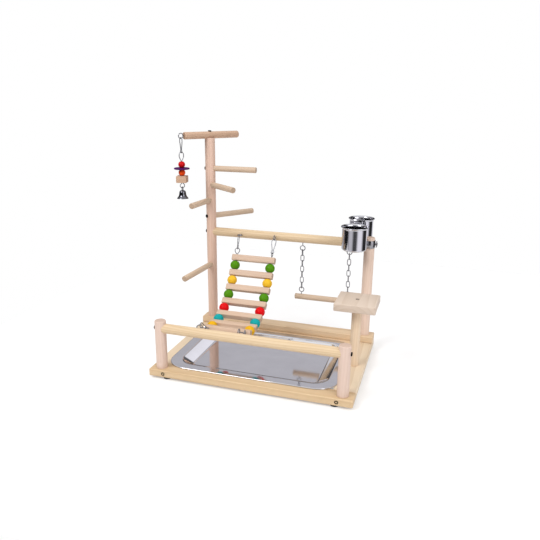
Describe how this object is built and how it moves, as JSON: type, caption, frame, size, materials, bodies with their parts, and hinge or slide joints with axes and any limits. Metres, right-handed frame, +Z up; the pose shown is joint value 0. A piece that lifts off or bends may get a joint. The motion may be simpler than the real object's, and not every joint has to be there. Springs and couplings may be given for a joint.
{
  "type": "parrot play stand",
  "caption": "Table-top wooden play stand for a pet bird: perches on a tall post, bead ladder, swing, bead and bell toy, two hook-on steel cups and a landing board over a steel tray",
  "frame": {"origin": "centre of the base frame, on the floor under the rubber feet", "axes": "+X right, -Y front, +Z up"},
  "size_m": [0.4763, 0.3853, 0.4834],
  "materials": {
    "board_pine": "smooth unvarnished pine boards",
    "post_pine": "smooth unvarnished pine dowel",
    "rail_pine": "smooth yellow pine with grain",
    "perch_beech": "smooth beige dowel",
    "foot_rubber": "matt black",
    "tray_steel": "bright stainless sheet",
    "cup_steel": "polished stainless",
    "bracket_steel": "plain steel",
    "screw_steel": "dark plated steel",
    "wire_steel": "nickel plated wire",
    "bead_green": "stained wood",
    "bead_yellow": "stained wood",
    "bead_red": "stained wood",
    "bead_teal": "stained wood",
    "bead_mustard": "stained wood",
    "bead_purple": "stained wood",
    "bead_orange": "stained wood",
    "bell_chrome": "dark chrome plating"
  },
  "bodies": {
    "base": {"front_board": "board_pine", "side_board_left": "board_pine", "side_board_right": "board_pine", "back_board": "board_pine", "back_strip": "board_pine", "rubber_feet": "foot_rubber", "front_posts": "post_pine", "front_rail": "rail_pine", "tall_post": "post_pine", "rear_post": "post_pine", "main_bar": "rail_pine", "top_perch": "perch_beech", "side_perch_1": "perch_beech", "side_perch_2": "perch_beech", "side_perch_3": "perch_beech", "side_perch_4": "perch_beech", "side_perch_5": "perch_beech", "platform": "board_pine", "platform_post": "post_pine", "ladder_rungs": "rail_pine", "ladder_wires": "wire_steel", "ladder_bar_eyes": "wire_steel", "ladder_rail_eyes": "wire_steel", "ladder_upper_clips": "wire_steel", "ladder_lower_clips": "wire_steel", "swing_bar_eyes": "wire_steel", "toy_eye": "wire_steel", "cup_bracket": "bracket_steel", "post_screws": "screw_steel", "board_screws": "screw_steel"},
    "tray": {"tray": "tray_steel"},
    "cup_front": {"cup_front": "cup_steel"},
    "cup_rear": {"cup_rear": "cup_steel"},
    "wing_screw": {"bracket_wing_screw": "bracket_steel"},
    "swing_chains": {"swing_chain_left": "wire_steel", "swing_chain_right": "wire_steel"},
    "swing_perch": {"swing_perch": "perch_beech", "swing_perch_eyes": "wire_steel"},
    "toy_clip": {"toy_clip": "wire_steel"},
    "toy_wire": {"toy_wire": "wire_steel"},
    "toy_bead_upper": {"toy_bead_upper": "bead_red"},
    "toy_disc": {"toy_disc": "bead_purple"},
    "toy_bead_lower": {"toy_bead_lower": "bead_orange"},
    "toy_block": {"toy_block": "board_pine"},
    "toy_bell": {"toy_bell": "bell_chrome"},
    "toy_clapper": {"toy_clapper": "bell_chrome"},
    "ladder_bead_left_1": {"ladder_bead_left_1": "bead_green"},
    "ladder_bead_left_2": {"ladder_bead_left_2": "bead_yellow"},
    "ladder_bead_left_3": {"ladder_bead_left_3": "bead_green"},
    "ladder_bead_left_4": {"ladder_bead_left_4": "bead_red"},
    "ladder_bead_left_5": {"ladder_bead_left_5": "bead_teal"},
    "ladder_bead_left_6": {"ladder_bead_left_6": "bead_mustard"},
    "ladder_bead_right_1": {"ladder_bead_right_1": "bead_green"},
    "ladder_bead_right_2": {"ladder_bead_right_2": "bead_yellow"},
    "ladder_bead_right_3": {"ladder_bead_right_3": "bead_green"},
    "ladder_bead_right_4": {"ladder_bead_right_4": "bead_red"},
    "ladder_bead_right_5": {"ladder_bead_right_5": "bead_teal"},
    "ladder_bead_right_6": {"ladder_bead_right_6": "bead_mustard"}
  },
  "joints": [
    {"name": "tray_lift", "type": "slide", "parent": "base", "child": "tray", "axis": [0, 0, 1], "range_m": [0, 0.04]},
    {"name": "cup_front_lift", "type": "slide", "parent": "base", "child": "cup_front", "axis": [0, 0, 1], "range_m": [0, 0.03]},
    {"name": "cup_rear_lift", "type": "slide", "parent": "base", "child": "cup_rear", "axis": [0, 0, 1], "range_m": [0, 0.03]},
    {"name": "wing_screw_turn", "type": "hinge", "parent": "base", "child": "wing_screw", "pos_m": [0.188, 0.1355, 0.2493], "axis": [1, 0, 0], "continuous": true},
    {"name": "swing_chains_hang", "type": "hinge", "parent": "base", "child": "swing_chains", "pos_m": [0.091, 0.1355, 0.22085], "axis": [1, 0, 0], "range_deg": [-40, 40]},
    {"name": "swing_perch_hang", "type": "hinge", "parent": "swing_chains", "child": "swing_perch", "pos_m": [0.091, 0.1355, 0.13245], "axis": [1, 0, 0], "range_deg": [-30, 30]},
    {"name": "toy_clip_hang", "type": "hinge", "parent": "base", "child": "toy_clip", "pos_m": [-0.23, 0.07252, 0.46783], "axis": [-0.5548, -0.832, 0], "range_deg": [-25, 25]},
    {"name": "toy_wire_hang", "type": "hinge", "parent": "toy_clip", "child": "toy_wire", "pos_m": [-0.23, 0.07252, 0.43645], "axis": [0.832, -0.5548, 0], "range_deg": [-35, 25]},
    {"name": "toy_bead_upper_turn", "type": "hinge", "parent": "toy_wire", "child": "toy_bead_upper", "pos_m": [-0.23, 0.07252, 0.4108], "axis": [0, 0, 1], "continuous": true},
    {"name": "toy_disc_turn", "type": "hinge", "parent": "toy_wire", "child": "toy_disc", "pos_m": [-0.23, 0.07252, 0.402], "axis": [0, 0, 1], "continuous": true},
    {"name": "toy_bead_lower_turn", "type": "hinge", "parent": "toy_wire", "child": "toy_bead_lower", "pos_m": [-0.23, 0.07252, 0.3932], "axis": [0, 0, 1], "continuous": true},
    {"name": "toy_block_turn", "type": "hinge", "parent": "toy_wire", "child": "toy_block", "pos_m": [-0.23, 0.07252, 0.3786], "axis": [0, 0, 1], "continuous": true},
    {"name": "toy_bell_hang", "type": "hinge", "parent": "toy_wire", "child": "toy_bell", "pos_m": [-0.23, 0.07252, 0.35907], "axis": [-0.5548, -0.832, 0], "range_deg": [-40, 40]},
    {"name": "toy_clapper_hang", "type": "hinge", "parent": "toy_bell", "child": "toy_clapper", "pos_m": [-0.23, 0.07252, 0.3526], "axis": [-0.5548, -0.832, 0], "range_deg": [-18, 18]},
    {"name": "ladder_bead_left_1_turn", "type": "hinge", "parent": "base", "child": "ladder_bead_left_1", "pos_m": [-0.1095, 0.085, 0.18562], "axis": [0, -0.5048, -0.8632], "continuous": true},
    {"name": "ladder_bead_left_2_turn", "type": "hinge", "parent": "base", "child": "ladder_bead_left_2", "pos_m": [-0.1095, 0.06521, 0.15573], "axis": [0, -0.5939, -0.8045], "continuous": true},
    {"name": "ladder_bead_left_3_turn", "type": "hinge", "parent": "base", "child": "ladder_bead_left_3", "pos_m": [-0.1095, 0.04173, 0.12867], "axis": [0, -0.7079, -0.7064], "continuous": true},
    {"name": "ladder_bead_left_4_turn", "type": "hinge", "parent": "base", "child": "ladder_bead_left_4", "pos_m": [-0.1095, 0.01369, 0.10638], "axis": [0, -0.8431, -0.5377], "continuous": true},
    {"name": "ladder_bead_left_5_turn", "type": "hinge", "parent": "base", "child": "ladder_bead_left_5", "pos_m": [-0.1095, -0.01907, 0.09205], "axis": [0, -0.9649, -0.2625], "continuous": true},
    {"name": "ladder_bead_left_6_turn", "type": "hinge", "parent": "base", "child": "ladder_bead_left_6", "pos_m": [-0.1095, -0.05463, 0.08909], "axis": [0, -0.9953, 0.097], "continuous": true},
    {"name": "ladder_bead_right_1_turn", "type": "hinge", "parent": "base", "child": "ladder_bead_right_1", "pos_m": [-0.0255, 0.085, 0.18562], "axis": [0, -0.5048, -0.8632], "continuous": true},
    {"name": "ladder_bead_right_2_turn", "type": "hinge", "parent": "base", "child": "ladder_bead_right_2", "pos_m": [-0.0255, 0.06521, 0.15573], "axis": [0, -0.5939, -0.8045], "continuous": true},
    {"name": "ladder_bead_right_3_turn", "type": "hinge", "parent": "base", "child": "ladder_bead_right_3", "pos_m": [-0.0255, 0.04173, 0.12867], "axis": [0, -0.7079, -0.7064], "continuous": true},
    {"name": "ladder_bead_right_4_turn", "type": "hinge", "parent": "base", "child": "ladder_bead_right_4", "pos_m": [-0.0255, 0.01369, 0.10638], "axis": [0, -0.8431, -0.5377], "continuous": true},
    {"name": "ladder_bead_right_5_turn", "type": "hinge", "parent": "base", "child": "ladder_bead_right_5", "pos_m": [-0.0255, -0.01907, 0.09205], "axis": [0, -0.9649, -0.2625], "continuous": true},
    {"name": "ladder_bead_right_6_turn", "type": "hinge", "parent": "base", "child": "ladder_bead_right_6", "pos_m": [-0.0255, -0.05463, 0.08909], "axis": [0, -0.9953, 0.097], "continuous": true}
  ]
}
